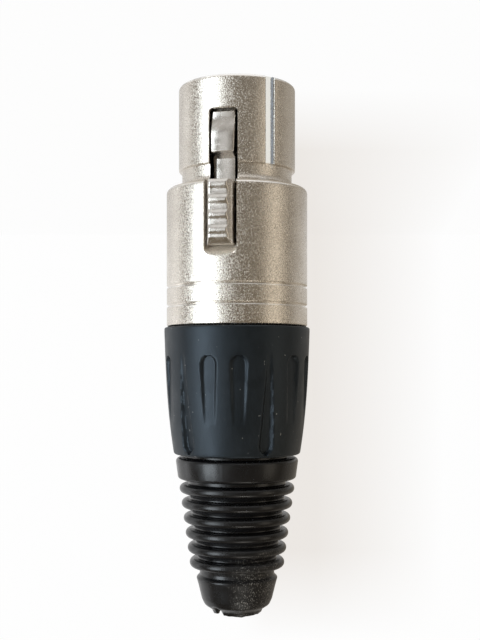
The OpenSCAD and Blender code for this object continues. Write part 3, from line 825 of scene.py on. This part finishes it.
@dataclass
class Latch:
    """The lever: hook, plate and ribbed button on two trunnions."""

    pivot_z: float = 2.6
    pivot_h: float = 5.6
    pivot_r: float = 0.55
    pivot_half: float = 2.2
    plate_half: float = 1.47
    plate_h: float = 6.55
    plate_low: float = 5.35
    hook_front: float = 4.75
    hook_back: float = 8.1
    hook_nose: float = 0.75
    catch_z: float = 10.1
    hook_h: float = 8.2
    button_front: float = 14.0
    button_end: float = 22.3
    button_h: float = 10.66
    button_low: float = 7.0
    button_half: float = 1.75
    button_top_half: float = 1.17
    button_side: float = 1.35
    rib_pitch: float = 1.92
    rib_depth: float = 0.3
    tongue_h: float = 7.27
    tongue_end: float = 24.6
    edge: float = 0.18

    def outline(self) -> np.ndarray:
        """(z, height) side view of the lever without its button's wide part."""
        rise = self.hook_nose - 0.1
        t = np.linspace(0.06, 1, 14)
        slope = np.stack(
            [
                self.hook_back - (self.hook_back - self.hook_front - 0.25) * t,
                self.hook_h - 0.1 - rise * t * t * (3 - 2 * t),
            ],
            axis=1,
        )
        corners = [
            (self.pivot_z, self.pivot_h - self.pivot_r, 0.3),
            (self.hook_front, self.pivot_h - self.pivot_r, 0.2),
            (self.hook_front + 1, self.plate_low, 0.2),
            (self.button_front, self.plate_low, 0.3),
            (self.button_front + 0.9, self.button_low - 0.4, 0.3),
            (self.tongue_end, self.tongue_h - 0.9, 0.25),
            (self.tongue_end, self.tongue_h, 0.25),
            (self.button_front + 1, self.tongue_h, 0.1),
            (self.button_front + 0.5, self.plate_h, 0.1),
            (self.catch_z + 0.6, self.plate_h, 0.2),
            (self.catch_z, self.hook_h, 0.22),
            (self.hook_back, self.hook_h - 0.1, 0.0),
            *[(float(z), float(h), 0.0) for z, h in slope],
            (self.hook_front, self.hook_h - self.hook_nose - 0.02, 0.28),
            (self.hook_front, self.pivot_h + self.pivot_r, 0.15),
            (self.pivot_z, self.pivot_h + self.pivot_r, 0.3),
        ]
        return rounded_loop(corners, COARSE_ARC)

    def button_top(self, z: np.ndarray) -> np.ndarray:
        """Height of the button at z: a wave of rounded crests, then a ramp down at its rear."""
        first = self.button_front + 0.7
        last = self.button_end - 0.85
        valley = self.button_h - self.rib_depth
        wave = 0.5 * (1 + np.cos(2 * math.pi * (z - first) / self.rib_pitch))
        top = self.button_h - self.rib_depth * (1 - wave**1.4)
        ramp = valley - 0.95 * (z - last) / (self.button_end - last)
        nose = self.button_h - 0.32 * smooth(first - z, 0.2, 0.7)
        top = np.where(z > last, ramp, top)
        return np.where(z < first, nose, top)

    def button(self) -> np.ndarray:
        """Sections of the button along the plug: a foot, sloping sides and round top edges."""
        inner = np.linspace(self.button_front + 0.1, self.button_end - 0.1, 150)
        z = np.concatenate([[self.button_front, self.button_front + 0.03], inner])
        z = np.concatenate([z, [self.button_end - 0.03, self.button_end]])
        ends = np.minimum(z - self.button_front, self.button_end - z)
        shrink = 0.1 - np.sqrt(np.clip(0.01 - (0.1 - np.minimum(ends, 0.1)) ** 2, 0, None))
        shoulder = self.button_h - self.button_side
        fall = (self.button_half - self.button_top_half) / self.button_side
        layers = []
        for place, top, less in zip(z, self.button_top(z), shrink):
            half = self.button_half - fall * max(0.0, float(top) - shoulder) - less
            wide = self.button_half - less
            low = self.plate_low + smooth(place, self.button_front, self.button_front + 0.9) * (
                self.button_low - self.plate_low
            )
            corners = [
                (-wide, low + less, 0.1),
                (wide, low + less, 0.1),
                (wide, min(shoulder, top - 0.2), 0.12),
                (half, top - less, 0.2),
                (-half, top - less, 0.2),
                (-wide, min(shoulder, top - 0.2), 0.12),
            ]
            shape = self.section(corners)
            layers.append(np.column_stack([shape[:, 0], -shape[:, 1], np.full(len(shape), place)]))
        return np.array(layers)

    @staticmethod
    def section(corners: Sequence[tuple[float, float, float]]) -> np.ndarray:
        """Outline with every corner rounded by a curve of the same number of points."""
        xy = np.array([c[:2] for c in corners])
        out = []
        for i, (_, _, radius) in enumerate(corners):
            back = xy[i - 1] - xy[i]
            ahead = xy[(i + 1) % len(xy)] - xy[i]
            first = xy[i] + back / np.linalg.norm(back) * min(radius, 0.4 * np.linalg.norm(back))
            last = xy[i] + ahead / np.linalg.norm(ahead) * min(radius, 0.4 * np.linalg.norm(ahead))
            t = np.linspace(0, 1, 6)[:, None]
            out.append((1 - t) ** 2 * first + 2 * t * (1 - t) * xy[i] + t**2 * last)
        return np.vstack(out)

    def trunnions(self) -> np.ndarray:
        """Rings of the pin across the lever, with chamfered ends."""
        ring = np.linspace(0, 2 * math.pi, 48, endpoint=False)
        chamfer = 0.12
        rows = []
        for x, r in (
            (-self.pivot_half, self.pivot_r - chamfer),
            (-self.pivot_half + chamfer, self.pivot_r),
            (self.pivot_half - chamfer, self.pivot_r),
            (self.pivot_half, self.pivot_r - chamfer),
        ):
            y = -self.pivot_h + r * np.cos(ring)
            rows.append(np.column_stack([np.full(48, x), y, self.pivot_z + r * np.sin(ring)]))
        return np.array(rows)

    def build(self) -> list[bpy.types.Object]:
        """Builds the lever, its button and its trunnions."""
        outline = self.outline()
        hook = smooth(outline[:, 0], self.hook_front, self.hook_front + 0.8)
        hook *= 1 - smooth(outline[:, 0], self.catch_z - 1.5, self.catch_z + 0.6)
        layers = across_layers(outline, self.plate_half + 0.08 * hook, self.edge)
        return [
            layered_solid("latch_lever_dressed", layers, LATCH_CREASE),
            layered_solid("latch_button", self.button(), LATCH_CREASE),
            layered_solid("latch_trunnions", self.trunnions()),
        ]


@dataclass
class GripNut:
    """The black nut: a gentle barrel with tapered grip recesses, bored and threaded inside."""

    start: float = 32.5
    end: float = 49.65
    max_r: float = 9.9
    rear_r: float = 8.57
    bore_r: float = 8.4
    thread_pitch: float = 1.2
    thread_depth: float = 0.3
    lip_r: float = 6.9
    lip_z: float = 48.4
    cone_z: float = 39.85
    inner_r: float = 7.7
    first_top: float = 9.0
    top_front: float = 36.4
    top_rear: float = 45.4
    top_half: float = 1.3
    top_narrow: float = 0.85
    top_depth: float = 0.46
    top_flat: float = 0.66
    end_front: float = 36.0
    end_rear: float = 49.1
    end_half: float = 1.22
    end_depth: float = 0.6
    end_flat: float = 0.55
    groups: int = 5
    turns: int = 420

    def outer_radius(self, z: np.ndarray) -> np.ndarray:
        """Radius at height z: max - (max - rear) (0.42 t + 0.58 t^3), t the share of the length."""
        t = (z - self.start) / (self.end - self.start)
        return self.max_r - (self.max_r - self.rear_r) * (0.42 * t + 0.58 * t**3)

    def outline(self) -> np.ndarray:
        """(radius, height) outline of the nut's wall."""
        z = np.linspace(self.start + 0.55, self.end - 0.6, 112)
        outer = [(float(r), float(h), 0.0) for r, h in zip(self.outer_radius(z), z)]
        corners = [
            (self.bore_r, self.start, 0.15),
            (float(self.outer_radius(np.array(self.start))) - 0.02, self.start, 0.45),
            *outer,
            (self.rear_r, self.end, 0.45),
            (self.lip_r, self.end, 0.2),
            (self.lip_r, self.lip_z, 0.1),
            (self.inner_r, self.lip_z, 0.1),
            (self.inner_r, self.cone_z + 1.5, 0.3),
            (self.bore_r, self.cone_z, 0.2),
        ]
        loop = rounded_loop(corners, COARSE_ARC)
        return densify(loop, 0.15, self.start + 0.1, self.cone_z)

    def recesses(self, height: np.ndarray, azimuth: np.ndarray) -> np.ndarray:
        """Depth of the grip recesses at each point, in millimetres.

        Across a recess of half width w the depth falls from its full value to none in the
        outer part of w. Groups of three repeat round the nut: one recess that is round at the
        rear and fades out at the front, and two that are round at the front.

        Args:
            height: heights of the points.
            azimuth: azimuths of the points.

        Returns:
            Array of depths.
        """
        step = 360 / (3 * self.groups)
        depth = np.zeros_like(height)
        for k in range(3 * self.groups):
            centre = math.radians(self.first_top - (k - 1) * step)
            away = (azimuth - centre + math.pi) % (2 * math.pi) - math.pi
            side = np.abs(away) * self.outer_radius(height)
            mark = self.end_recess(height, side) if k % 3 == 0 else self.top_recess(height, side)
            depth = np.maximum(depth, mark)
        return depth

    def top_recess(self, z: np.ndarray, side: np.ndarray) -> np.ndarray:
        """Recess with a round front end that narrows and fades out towards the rear."""
        t = np.clip((z - self.top_front) / (self.top_rear - self.top_front), 0, 1)
        width = self.top_half + (self.top_narrow - self.top_half) * t
        floor = self.top_depth * (1 - t) ** 0.75
        mark = self.hollow(side, z - self.top_front, width, self.top_half, self.top_flat) * floor
        return np.where((z > self.top_front) & (z < self.top_rear), mark, 0)

    def end_recess(self, z: np.ndarray, side: np.ndarray) -> np.ndarray:
        """Recess that widens and deepens from a point at the front to a round rear end."""
        t = np.clip((z - self.end_front) / (self.end_rear - self.end_front), 0, 1)
        width = self.end_half * (0.25 + 0.75 * t)
        floor = self.end_depth * t**0.8
        mark = self.hollow(side, self.end_rear - z, width, self.end_half, self.end_flat) * floor
        return np.where((z > self.end_front) & (z < self.end_rear), mark, 0)

    @staticmethod
    def hollow(
        side: np.ndarray, to_end: np.ndarray, width: np.ndarray, round_r: float, flat: float
    ) -> np.ndarray:
        """Share of its full depth that a recess has at each point.

        The half width is drawn in by sqrt(1 - (1 - d / r)^2) within r of the round end, at a
        distance d from it. Across it the share is 1 up to flat and falls smoothly to 0.

        Args:
            side: distance from the recess's middle line.
            to_end: distance from its round end.
            width: half width.
            round_r: radius of the round end.
            flat: share of the half width that is flat.

        Returns:
            Array of shares from 0 to 1.
        """
        round_end = np.sqrt(np.clip(1 - np.clip(1 - to_end / round_r, 0, 1) ** 2, 0, 1))
        width = np.maximum(width * round_end, 1e-3)
        return 1 - smooth(side / width, flat, 1.0)

    def build(self) -> bpy.types.Object:
        """Builds the nut."""
        radius, height, azimuth = revolve(self.outline(), self.turns)
        outer = radius > self.bore_r + 0.12
        inside = (np.abs(radius - self.bore_r) < 0.01) & (height < self.cone_z)
        phase = (height - self.start) / self.thread_pitch - azimuth / (2 * math.pi)
        wave = 1 - np.abs(2 * (phase - np.floor(phase)) - 1)
        fade = smooth(height, self.start + 0.2, self.start + 0.8)
        fade *= 1 - smooth(height, self.cone_z - 1.2, self.cone_z - 0.6)
        thread = self.thread_depth * fade * np.clip(1.3 * wave - 0.15, 0, 1)
        radius = radius + np.where(inside, thread, 0)
        radius = radius - np.where(outer, self.recesses(height, azimuth), 0)
        return ring_solid("grip_nut_dressed", cylinder_points(radius, height, azimuth))


@dataclass
class Boot:
    """The rubber boot: flange, collar, six ribs and a cup that was cut off by hand."""

    flange_z: float = 46.9
    flange_r: float = 7.5
    flange_end: float = 48.3
    neck_r: float = 6.8
    collar_z: float = 50.1
    collar_r: float = 8.38
    ribs_z: float = 53.0
    first_rib: float = 54.3
    rib_pitch: float = 2.01
    ribs: int = 6
    rib_half: float = 0.61
    rib_first_r: float = 7.81
    rib_last_r: float = 6.44
    groove: float = 1.25
    cup_z: float = 66.3
    cup_r: float = 5.52
    end_z: float = 71.28
    bore_r: float = 4.2
    hole_r: float = 2.9
    cut_slant: float = 0.3
    cut_azimuth: float = -22.0
    tear_azimuth: float = 30.0
    tear_half_angle: float = 0.2
    tear_depth: float = 0.95
    seam_height: float = 0.014
    turns: int = 300

    def rib_radius(self, i: int) -> float:
        """Outer radius of rib i, on a straight taper from the first to the last."""
        return self.rib_first_r + (self.rib_last_r - self.rib_first_r) * i / (self.ribs - 1)

    def outline(self) -> np.ndarray:
        """(radius, height) outline of the boot's wall."""
        ribs: list[tuple[float, float, float]] = []
        for i in range(self.ribs):
            z = self.first_rib + i * self.rib_pitch
            floor = self.rib_radius(i) - self.groove
            ribs += [
                (floor, z - self.rib_half, 0.22),
                (self.rib_radius(i), z - self.rib_half, 0.6),
                (self.rib_radius(i), z + self.rib_half, 0.6),
                (floor, z + self.rib_half, 0.22),
            ]
        cup = self.cup_z
        corners = [
            (self.bore_r + 0.8, self.flange_z, 0.2),
            (self.flange_r, self.flange_z, 0.3),
            (self.flange_r, self.flange_end, 0.2),
            (self.neck_r, self.flange_end, 0.1),
            (self.neck_r, self.collar_z, 0.1),
            (self.collar_r, self.collar_z, 0.5),
            (self.collar_r - 0.38, self.ribs_z, 0.45),
            (self.rib_radius(0) - self.groove, self.ribs_z, 0.2),
            *ribs,
            (self.cup_r - 0.45, cup - 0.75, 0.2),
            (self.cup_r - 0.45, cup - 0.35, 0.15),
            (self.cup_r, cup + 0.1, 0.25),
            (self.cup_r - 0.28, cup + 1.1, 0.5),
            (self.cup_r - 0.72, cup + 2.9, 1.2),
            (self.cup_r - 1.1, cup + 3.75, 0.8),
            (self.hole_r + 0.62, cup + 4.45, 0.5),
            (self.hole_r + 0.42, self.end_z, 0.12),
            (self.hole_r, self.end_z, 0.1),
            (self.hole_r, self.end_z - 2.9, 0.3),
            (self.bore_r, self.end_z - 4.9, 0.5),
        ]
        return densify(rounded_loop(corners, COARSE_ARC), 0.25, cup - 1.0, self.end_z + 1)

    def cut(self, azimuth: np.ndarray) -> np.ndarray:
        """How far the cut end lies below its highest point, in millimetres, round the boot.

        A slant (1 - cos(a - a0)) / 2 of the whole cut, a ragged sum of short sines, and one
        V-shaped tear.

        Args:
            azimuth: azimuths of the points.

        Returns:
            Array of depths.
        """
        slant = self.cut_slant * (1 - np.cos(azimuth - math.radians(self.cut_azimuth))) / 2
        ragged = sum(
            h * np.sin(n * azimuth + p)
            for n, h, p in ((5, 0.03, 0.4), (9, 0.02, 1.9), (14, 0.02, 4.0), (23, 0.015, 2.2))
        )
        away = (azimuth - math.radians(self.tear_azimuth) + math.pi) % (2 * math.pi) - math.pi
        tear = np.clip(1 - np.abs(away) / self.tear_half_angle, 0, 1)
        return np.clip(slant + 0.1 + ragged + self.tear_depth * tear, 0, 1.3)

    def build(self) -> bpy.types.Object:
        """Builds the boot."""
        radius, height, azimuth = revolve(self.outline(), self.turns)
        near_end = smooth(height, self.end_z - 1.6, self.end_z - 0.1)
        height = height - near_end * self.cut(azimuth)
        seam = np.exp(-(((azimuth + math.pi) % (2 * math.pi) - math.pi) / 0.012) ** 2)
        skin = (radius > self.bore_r + 0.9) & (height > self.collar_z)
        radius = radius + np.where(skin, self.seam_height * seam, 0)
        return ring_solid("boot_dressed", cylinder_points(radius, height, azimuth), BOOT_CREASE)


@dataclass(frozen=True)
class Lamp:
    """A rectangular soft lamp: its azimuth is counted from the camera's, its sizes are in mm."""

    name: str
    turn: float
    z: float
    distance: float
    size: tuple[float, float]
    power: float
    colour: Colour


@dataclass
class Studio:
    """The camera of the photograph, the pale floor, the backdrop and the lights."""

    azimuth: float = -13.5
    distance: float = 138.0
    eye_z: float = 38.0
    shift_up: float = 6.55
    shift_side: float = 0.41
    photo_scale: float = 7.33
    photo_h: int = 640
    reach: float = 900.0
    backdrop_distance: float = 150.0
    backdrop_height: float = 700.0
    aim_z: float = 35.0
    room: Colour = (0.19, 0.155, 0.11)
    # Colours of the painted shadow on the paper and of the darker paper that metal mirrors.
    shade_colour: Colour = (0.845, 0.81, 0.775)
    mirrored_shade: Colour = (0.50, 0.45, 0.38)
    shade_turn: float = 7.0
    shade_edges: tuple[float, float] = (4.0, 40.0)
    shade_start: float = 8.0
    shade_behind: float = 39.0
    shade_heights: tuple[float, float] = (116.0, 90.0)
    lamps: tuple[Lamp, ...] = (
        Lamp("window_lamp", 53, 20, 330, (155, 400), 1.30, (0.84, 0.93, 1.0)),
        Lamp("window_side", 117, 20, 330, (150, 300), 0.13, (0.95, 0.97, 1.0)),
        Lamp("window_fade", 26, 20, 330, (70, 400), 0.075, (0.9, 0.95, 1.0)),
        Lamp("rear_strip", -20, 330, 190, (150, 50), 0.17, (1.0, 0.97, 0.9)),
        Lamp("warm_wall", -64, 60, 420, (170, 300), 0.19, (1.0, 0.91, 0.77)),
    )

    def direction(self, azimuth: float) -> np.ndarray:
        """Level unit vector that points away from the axis at an azimuth in degrees."""
        a = math.radians(azimuth)
        return np.array([math.sin(a), -math.cos(a), 0.0])

    def camera(self) -> None:
        """Makes the camera: level and upside down, with its lens shifted to the photo's middle.

        The lens follows from the photograph's scale at the axis: focal length in pixels is
        scale times distance, and the picture is photo_h pixels high. The shifts are stated in
        millimetres at the axis, and the camera takes them as shares of the picture's height.
        """
        data = bpy.data.cameras.new("camera")
        data.sensor_fit = "VERTICAL"
        data.sensor_height = 24.0
        data.lens = 24.0 * self.photo_scale * self.distance / self.photo_h
        data.shift_y = self.shift_up * self.photo_scale / self.photo_h
        data.shift_x = self.shift_side * self.photo_scale / self.photo_h
        data.clip_start = 0.005
        data.clip_end = 20
        forward = Vector(-self.direction(self.azimuth))
        up = Vector((0, 0, -1))
        right = forward.cross(up)
        turn = Matrix((right, up, -forward)).transposed().to_4x4()
        eye = self.direction(self.azimuth) * self.distance + np.array([0, 0, self.eye_z])
        camera = bpy.data.objects.new("camera", data)
        camera.matrix_world = Matrix.Translation(Vector(eye) * MM) @ turn
        bpy.context.scene.collection.objects.link(camera)
        bpy.context.scene.camera = camera

    def along(self, nodes: Nodes, azimuth: float) -> bpy.types.NodeSocket:
        """How far a point lies from the axis towards an azimuth, in metres."""
        dot = nodes.add("ShaderNodeVectorMath", operation="DOT_PRODUCT")
        nodes.join(nodes.place(), dot.inputs[0])
        dot.inputs[1].default_value = tuple(self.direction(azimuth))
        return dot.outputs["Value"]

    def shade(self, nodes: Nodes, is_seen: bpy.types.NodeSocket) -> bpy.types.NodeSocket:
        """Colour of the paper: white, with a painted soft warm shadow on the plug's right side.

        The shade is a band on the floor and the backdrop, turned a little from straight back. It
        fades out at its sides, near the plug and high up. Metal mirrors a darker one, which is
        weak near the floor.

        Args:
            nodes: nodes of the paper's material.
            is_seen: 1 for what the camera sees directly.

        Returns:
            The colour.
        """
        across = self.along(nodes, self.azimuth - 90)
        behind = self.along(nodes, self.azimuth + 180)
        band = self.along(nodes, self.azimuth - 90 + self.shade_turn)
        height = nodes.axes()["Z"]
        seen = nodes.remap(band, *(edge * MM for edge in self.shade_edges), 1, 0)
        limits = (
            (across, 0.0, self.shade_start),
            (behind, 0.0, self.shade_behind),
            (height, *self.shade_heights),
        )
        for value, none, full in limits:
            fade = nodes.remap(value, none * MM, full * MM, 0, 1)
            seen = nodes.maths("MULTIPLY", seen, fade)
        # Painted shade in what metal mirrors: the paper is darker to gloss on the plug's right.
        mirrored = nodes.maths(
            "MULTIPLY", nodes.remap(across, 0.0, 0.05, 0, 1), nodes.remap(height, 0.0, 0.035, 0.1, 1)
        )
        white = (1.0, 1.0, 1.0)
        dark = nodes.mix_colour(mirrored, white, self.mirrored_shade)
        return nodes.mix_colour(is_seen, dark, nodes.mix_colour(seen, white, self.shade_colour))

    def paper(self, name: str, glow: float, gloss: float, is_coated: bool) -> bpy.types.Material:
        """White paper: it keeps shadows, and glows by one share to the camera, one in gloss.

        Coated paper mirrors the room where it is seen at a shallow angle.

        Args:
            name: name of the material.
            glow: share of the glow in what the camera sees.
            gloss: share of the glow in what metal mirrors.
            is_coated: whether the paper is coated.

        Returns:
            The material.
        """
        nodes = Nodes(name)
        path = nodes.add("ShaderNodeLightPath")
        in_gloss, in_glass = path.outputs["Is Glossy Ray"], path.outputs["Is Transmission Ray"]
        mirrored = nodes.maths("MINIMUM", nodes.maths("ADD", in_gloss, in_glass), 1.0)
        mirrored = nodes.maths("MULTIPLY", mirrored, gloss)
        seen = nodes.maths("MULTIPLY", path.outputs["Is Camera Ray"], glow)
        share = nodes.maths("MAXIMUM", seen, mirrored)
        sheet = nodes.add("ShaderNodeBsdfDiffuse")
        sheet.inputs["Color"].default_value = (0.8, 0.8, 0.8, 1)
        light = nodes.add("ShaderNodeEmission", Strength=1.0)
        nodes.join(self.shade(nodes, path.outputs["Is Camera Ray"]), light.inputs["Color"])
        mix = nodes.add("ShaderNodeMixShader")
        nodes.join(share, mix.inputs[0])
        nodes.join(sheet.outputs[0], mix.inputs[1])
        nodes.join(light.outputs[0], mix.inputs[2])
        result = mix.outputs[0]
        if is_coated:
            facing = nodes.add("ShaderNodeLayerWeight", Blend=0.5).outputs["Facing"]
            shallow = nodes.remap(facing, 0.08, 0.45, 0, 0.9)
            coat = nodes.add("ShaderNodeBsdfGlossy", Roughness=0.12)
            cover = nodes.add("ShaderNodeMixShader")
            share = nodes.maths("MULTIPLY", shallow, path.outputs["Is Glossy Ray"])
            nodes.join(share, cover.inputs[0])
            nodes.join(result, cover.inputs[1])
            nodes.join(coat.outputs[0], cover.inputs[2])
            result = cover.outputs[0]
        nodes.join(result, nodes.output.inputs["Surface"])
        return nodes.material

    def set_plane(
        self, name: str, corners: Sequence[Sequence[float]], glow: float, gloss: float
    ) -> None:
        """A flat sheet of paper through four corners, in millimetres, as part of the stage."""
        mesh = bpy.data.meshes.new(name)
        mesh.from_pydata([tuple(c * MM for c in p) for p in corners], [], [(0, 1, 2, 3)])
        sheet = bpy.data.objects.new(name, mesh)
        sheet.data.materials.append(self.paper(name + "_paper", glow, gloss, name == "floor"))
        bpy.context.scene.collection.objects.link(sheet)

    def stage(self) -> None:
        """The floor and the backdrop behind the plug, opposite the camera."""
        reach = self.reach
        floor = [(-reach, -reach, 0), (reach, -reach, 0), (reach, reach, 0), (-reach, reach, 0)]
        self.set_plane("floor", floor, 0.97, 0.95)
        back = self.direction(self.azimuth + 180) * self.backdrop_distance
        side = self.direction(self.azimuth + 90) * reach
        low, high = np.zeros(3), np.array([0, 0, self.backdrop_height])
        corners = [back - side + low, back + side + low, back + side + high, back - side + high]
        self.set_plane("backdrop", corners, 0.98, 0.98)

    def light(self, lamp: Lamp) -> None:
        """Makes a lamp, aimed at the middle of the plug."""
        data = bpy.data.lights.new(lamp.name, "AREA")
        data.shape = "RECTANGLE"
        data.size, data.size_y = (side * MM for side in lamp.size)
        data.energy = lamp.power
        data.color = lamp.colour
        place = self.direction(self.azimuth + lamp.turn) * lamp.distance + np.array([0, 0, lamp.z])
        aim = Vector(np.array([0, 0, self.aim_z]) - place).normalized()
        turn = aim.to_track_quat("-Z", "Y").to_matrix().to_4x4()
        holder = bpy.data.objects.new(lamp.name, data)
        holder.matrix_world = Matrix.Translation(Vector(place) * MM) @ turn
        bpy.context.scene.collection.objects.link(holder)

    def world(self) -> None:
        """A plain room: white to the camera, a warm grey to everything else."""
        world = bpy.data.worlds.new("room")
        world.use_nodes = True
        bpy.context.scene.world = world
        tree = world.node_tree
        tree.nodes.clear()
        path = tree.nodes.new("ShaderNodeLightPath")
        white = tree.nodes.new("ShaderNodeBackground")
        white.inputs["Color"].default_value = (1, 1, 1, 1)
        room = tree.nodes.new("ShaderNodeBackground")
        room.inputs["Color"].default_value = (*self.room, 1)
        mix = tree.nodes.new("ShaderNodeMixShader")
        out = tree.nodes.new("ShaderNodeOutputWorld")
        tree.links.new(path.outputs["Is Camera Ray"], mix.inputs[0])
        tree.links.new(room.outputs[0], mix.inputs[1])
        tree.links.new(white.outputs[0], mix.inputs[2])
        tree.links.new(mix.outputs[0], out.inputs["Surface"])

    def build(self) -> None:
        """Sets up camera, stage and lights."""
        bpy.context.scene.view_settings.view_transform = "Standard"
        self.camera()
        self.stage()
        self.world()
        for lamp in self.lamps:
            self.light(lamp)


def dress_inner_nodes(frame: dict, finishes: Finishes) -> None:
    """Gives the CAD nodes that stay in view their finished materials."""
    kinds = {
        "contact_insert": Slot.INSERT,
        "contact_1": Slot.CONTACT,
        "contact_2": Slot.CONTACT,
        "contact_3": Slot.CONTACT,
        "shell_contact": Slot.STRIP,
        "latch_spring": Slot.SPRING,
        "chuck": Slot.CHUCK,
    }
    for node, slot in kinds.items():
        finishes.put(frame["nodes"][node], slot)
        LOG.info("%s: CAD node, %s", node, slot.value)


def main() -> None:
    """Builds the plug's pieces in order, dresses them, and sets up camera and light."""
    logging.basicConfig(level=logging.INFO, format="%(name)s: %(message)s")
    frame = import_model()
    Studio().build()
    finishes = Finishes()
    dress(Shell().build(), Body.SHELL, Slot.NICKEL, "housing", finishes)
    for piece in Latch().build():
        dress(piece, Body.LATCH, Slot.LATCH, "latch_lever", finishes)
    dress(GripNut().build(), Body.NUT, Slot.NUT, "grip_nut", finishes)
    dress(Boot().build(), Body.BOOT, Slot.BOOT, "boot", finishes)
    dress_inner_nodes(frame, finishes)


if __name__ == "__main__":
    main()
